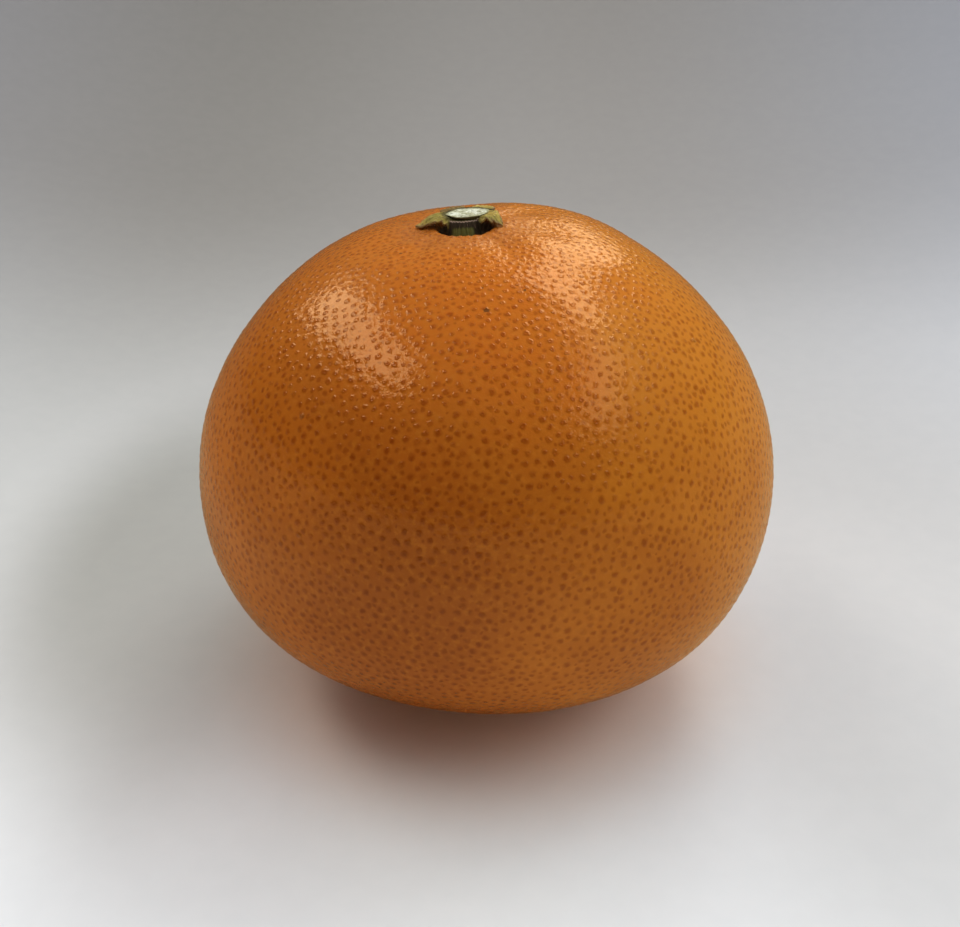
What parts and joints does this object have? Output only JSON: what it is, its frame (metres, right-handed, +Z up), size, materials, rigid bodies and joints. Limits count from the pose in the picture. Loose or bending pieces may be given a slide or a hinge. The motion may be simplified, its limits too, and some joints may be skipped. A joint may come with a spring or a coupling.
{
  "type": "mandarin",
  "caption": "Whole ripe mandarin with glossy, finely dotted orange peel, a green lobed calyx and a short cut stem stub, resting on its flat blossom end.",
  "frame": {"origin": "middle of the whole fruit's outline seen from above, at the height of the surface it rests on", "axes": "+Z up, from the blossom end towards the stem end; +X to the right and -Y towards the viewer, as in the picture"},
  "size_m": [0.0698, 0.07, 0.0581],
  "materials": {
    "peel": "waxy orange peel, glossy, with fine darker oil glands",
    "calyx": "dry green sepal tissue, browned at its edges",
    "cut_stem": "pale, dry, freshly cut green stem"
  },
  "bodies": {
    "root": {"fruit": "peel", "calyx": "calyx", "stem_stub": "cut_stem"}
  },
  "joints": []
}
